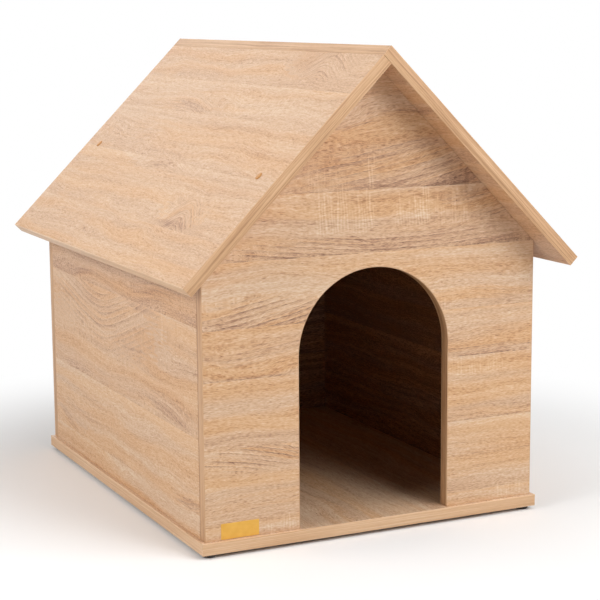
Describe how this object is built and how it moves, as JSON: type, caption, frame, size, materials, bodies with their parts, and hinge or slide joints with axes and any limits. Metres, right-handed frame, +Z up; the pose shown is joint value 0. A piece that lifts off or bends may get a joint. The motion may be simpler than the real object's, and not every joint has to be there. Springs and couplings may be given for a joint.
{
  "type": "dog house",
  "caption": "Gable-roofed flat-pack dog house of oak-look laminated board with an open arched doorway, banded edges and low glides.",
  "frame": {"origin": "on the ground under the centre of the house, at the bottom centre of its bounding box", "axes": "+X to the right as seen from in front of the doorway, +Y from the doorway to the rear, +Z up"},
  "size_m": [0.6434, 0.8, 0.7245],
  "materials": {
    "oak_board": "satin melamine oak print, fine pores",
    "oak_edging": "satin printed edging strip",
    "glide_plastic": "matt moulded",
    "cover_plastic": "satin moulded",
    "zinc_steel": "zinc plated",
    "zinc_alloy": "die cast, dull",
    "beech": "bare turned wood"
  },
  "bodies": {
    "root": {"floor_panel": "oak_board", "front_gable_panel": "oak_board", "rear_gable_panel": "oak_board", "left_wall_panel": "oak_board", "right_wall_panel": "oak_board", "left_roof_panel": "oak_board", "right_roof_panel": "oak_board", "floor_edging_front": "oak_edging", "floor_edging_rear": "oak_edging", "floor_edging_left": "oak_edging", "floor_edging_right": "oak_edging", "front_gable_edging_left": "oak_edging", "front_gable_edging_right": "oak_edging", "rear_gable_edging_left": "oak_edging", "rear_gable_edging_right": "oak_edging", "doorway_edging": "oak_edging", "left_roof_edging_front": "oak_edging", "left_roof_edging_rear": "oak_edging", "left_roof_edging_eave": "oak_edging", "right_roof_edging_front": "oak_edging", "right_roof_edging_rear": "oak_edging", "right_roof_edging_eave": "oak_edging", "right_roof_edging_ridge": "oak_edging", "glide_front_left": "glide_plastic", "glide_front_right": "glide_plastic", "glide_rear_left": "glide_plastic", "glide_rear_right": "glide_plastic", "floor_screw_front_left": "zinc_steel", "floor_screw_front_right": "zinc_steel", "floor_screw_rear_left": "zinc_steel", "floor_screw_rear_right": "zinc_steel", "floor_screw_left_wall_front": "zinc_steel", "floor_screw_left_wall_rear": "zinc_steel", "floor_screw_right_wall_front": "zinc_steel", "floor_screw_right_wall_rear": "zinc_steel", "roof_screw_front_left": "zinc_steel", "roof_screw_front_right": "zinc_steel", "roof_screw_rear_left": "zinc_steel", "roof_screw_rear_right": "zinc_steel", "screw_cover_front_left": "cover_plastic", "screw_cover_front_right": "cover_plastic", "screw_cover_rear_left": "cover_plastic", "screw_cover_rear_right": "cover_plastic", "cam_front_left": "zinc_alloy", "cam_front_right": "zinc_alloy", "cam_rear_left": "zinc_alloy", "cam_rear_right": "zinc_alloy", "cam_bolt_front_left": "zinc_steel", "cam_bolt_front_right": "zinc_steel", "cam_bolt_rear_left": "zinc_steel", "cam_bolt_rear_right": "zinc_steel", "corner_dowel_front_left": "beech", "corner_dowel_front_right": "beech", "corner_dowel_rear_left": "beech", "corner_dowel_rear_right": "beech", "ridge_dowel_1": "beech", "ridge_dowel_2": "beech", "ridge_dowel_3": "beech"}
  },
  "joints": []
}
